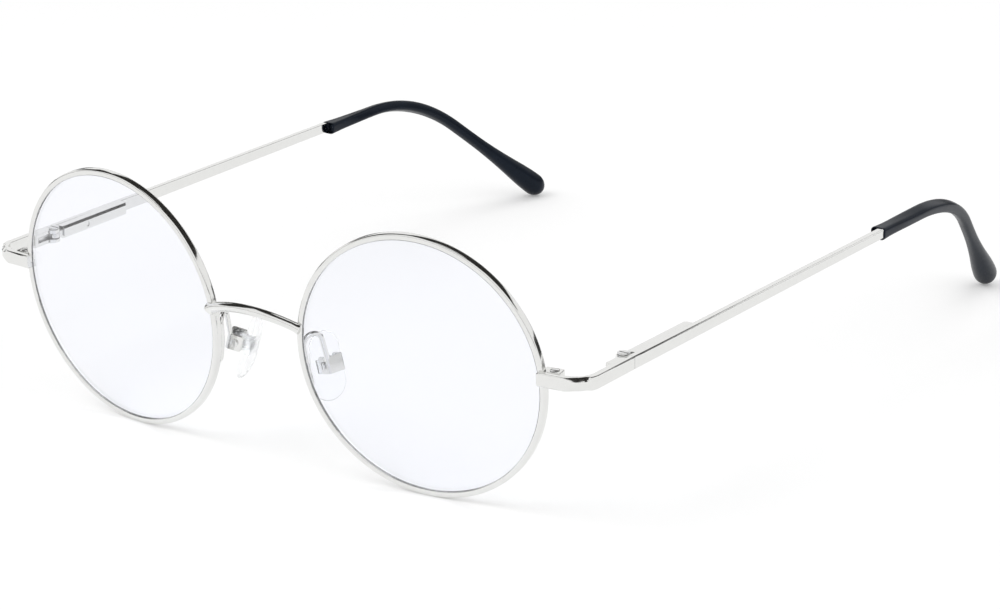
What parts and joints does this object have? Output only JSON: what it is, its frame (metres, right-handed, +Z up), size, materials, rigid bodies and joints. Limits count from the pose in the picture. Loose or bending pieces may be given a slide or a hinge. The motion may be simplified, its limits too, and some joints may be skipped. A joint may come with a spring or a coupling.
{
  "type": "round eyeglasses",
  "caption": "Round metal eyeglasses with clear lenses, an arched bridge, adjustable nose pads, and sprung folding temples that end in dark moulded ear tips.",
  "frame": {"origin": "on the table, under the middle of the box round the unfolded eyeglasses", "axes": "the front faces -Y, the temples run back along +Y, +X is the wearer's left side and +Z is up"},
  "size_m": [0.1276, 0.165, 0.047],
  "materials": {
    "silver_metal": "polished silver-coloured plating",
    "screw_steel": "turned and slotted steel",
    "clear_lens": "clear, coated, with a polished edge",
    "clear_silicone": "soft clear silicone",
    "pad_plastic": "clear moulded plastic",
    "dark_tip": "glossy blue-black moulding"
  },
  "bodies": {
    "front": {"bridge": "silver_metal", "left_rim": "silver_metal", "left_lens": "clear_lens", "left_upper_block": "silver_metal", "left_lower_block": "silver_metal", "left_closing_screw": "screw_steel", "left_endpiece": "silver_metal", "left_hinge_block": "silver_metal", "left_pad_arm": "silver_metal", "left_pad_box": "silver_metal", "left_pad_screw": "screw_steel", "right_rim": "silver_metal", "right_lens": "clear_lens", "right_upper_block": "silver_metal", "right_lower_block": "silver_metal", "right_closing_screw": "screw_steel", "right_endpiece": "silver_metal", "right_hinge_block": "silver_metal", "right_pad_arm": "silver_metal", "right_pad_box": "silver_metal", "right_pad_screw": "screw_steel"},
    "left_pad": {"left_pad_core": "pad_plastic", "left_nose_pad": "clear_silicone"},
    "left_screw": {"left_hinge_screw": "screw_steel"},
    "left_slide": {"left_spring_slide": "screw_steel", "left_spring_stop": "screw_steel", "left_hinge_spring": "screw_steel"},
    "left_temple": {"left_temple_bar": "silver_metal", "left_spring_housing": "silver_metal", "left_temple_tip": "dark_tip"},
    "right_pad": {"right_pad_core": "pad_plastic", "right_nose_pad": "clear_silicone"},
    "right_screw": {"right_hinge_screw": "screw_steel"},
    "right_slide": {"right_spring_slide": "screw_steel", "right_spring_stop": "screw_steel", "right_hinge_spring": "screw_steel"},
    "right_temple": {"right_temple_bar": "silver_metal", "right_spring_housing": "silver_metal", "right_temple_tip": "dark_tip"}
  },
  "joints": [
    {"name": "left_flex", "type": "hinge", "parent": "front", "child": "left_screw", "pos_m": [0.06153, -0.06082, 0.02578], "axis": [0, -0.0166, 0.9999], "range_deg": [-12, 0], "stiffness_Nm_per_rad": 0.15, "springref_deg": 5.73},
    {"name": "left_fold", "type": "hinge", "parent": "left_screw", "child": "left_slide", "pos_m": [0.06153, -0.06082, 0.02578], "axis": [0, -0.0166, 0.9999], "range_deg": [0, 92]},
    {"name": "left_travel", "type": "slide", "parent": "left_slide", "child": "left_temple", "axis": [0, 0.9999, 0.0166], "range_m": [0, 0.00055], "deforming": ["left_hinge_spring"]},
    {"name": "left_pad_rock", "type": "hinge", "parent": "front", "child": "left_pad", "pos_m": [0.01047, -0.07197, 0.01866], "axis": [0.3437, 0.9327, 0.1096], "range_deg": [-8, 8]},
    {"name": "right_flex", "type": "hinge", "parent": "front", "child": "right_screw", "pos_m": [-0.06153, -0.06082, 0.02578], "axis": [0, 0.0166, -0.9999], "range_deg": [-12, 0], "stiffness_Nm_per_rad": 0.15, "springref_deg": 5.73},
    {"name": "right_fold", "type": "hinge", "parent": "right_screw", "child": "right_slide", "pos_m": [-0.06153, -0.06082, 0.02578], "axis": [0, 0.0166, -0.9999], "range_deg": [0, 87]},
    {"name": "right_travel", "type": "slide", "parent": "right_slide", "child": "right_temple", "axis": [0, 0.9999, 0.0166], "range_m": [0, 0.00055], "deforming": ["right_hinge_spring"]},
    {"name": "right_pad_rock", "type": "hinge", "parent": "front", "child": "right_pad", "pos_m": [-0.01047, -0.07197, 0.01866], "axis": [0.3437, -0.9327, -0.1096], "range_deg": [-8, 8]}
  ],
  "couplings": [
    {"joint": "left_travel", "follows": "left_flex", "m_per_rad": -0.0024},
    {"joint": "right_travel", "follows": "right_flex", "m_per_rad": -0.0024}
  ]
}
